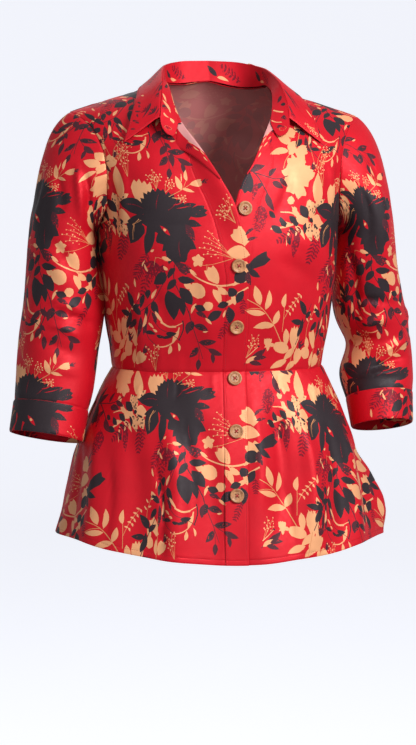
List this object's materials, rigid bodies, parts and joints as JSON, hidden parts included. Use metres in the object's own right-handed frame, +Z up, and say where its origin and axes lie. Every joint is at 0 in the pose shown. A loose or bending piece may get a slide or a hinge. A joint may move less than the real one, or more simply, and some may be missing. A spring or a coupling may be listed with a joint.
{
  "type": "peplum top",
  "caption": "Collared button-front blouse with elbow sleeves, band cuffs, a waist seam and a flared peplum, holding the open form it has when worn.",
  "frame": {"origin": "middle of the neck, level with the right side neck point, where the wearer's neck and shoulders hold the garment", "axes": "+Z up towards the head, the front faces -Y, +X towards the wearer's left"},
  "size_m": [0.5394, 0.3181, 0.6308],
  "materials": {
    "printed_satin": "red satin-weave cloth printed with flowers and leaves, soft sheen, pale reverse",
    "button": "turned brown four-hole button with a raised rim, satin finish"
  },
  "bodies": {
    "root": {"back": "printed_satin", "front_right": "printed_satin", "front_left": "printed_satin", "placket_right": "printed_satin", "placket_left": "printed_satin", "turned_edge_right": "printed_satin", "turned_edge_left": "printed_satin", "collar_stand": "printed_satin", "collar_leaf": "printed_satin", "sleeve_right": "printed_satin", "sleeve_left": "printed_satin", "cuff_right": "printed_satin", "cuff_left": "printed_satin", "peplum_front_right": "printed_satin", "peplum_front_left": "printed_satin", "peplum_back": "printed_satin", "peplum_placket_right": "printed_satin", "peplum_placket_left": "printed_satin", "button_1": "button", "button_2": "button", "button_3": "button", "button_4": "button", "button_5": "button", "button_6": "button"}
  },
  "joints": []
}
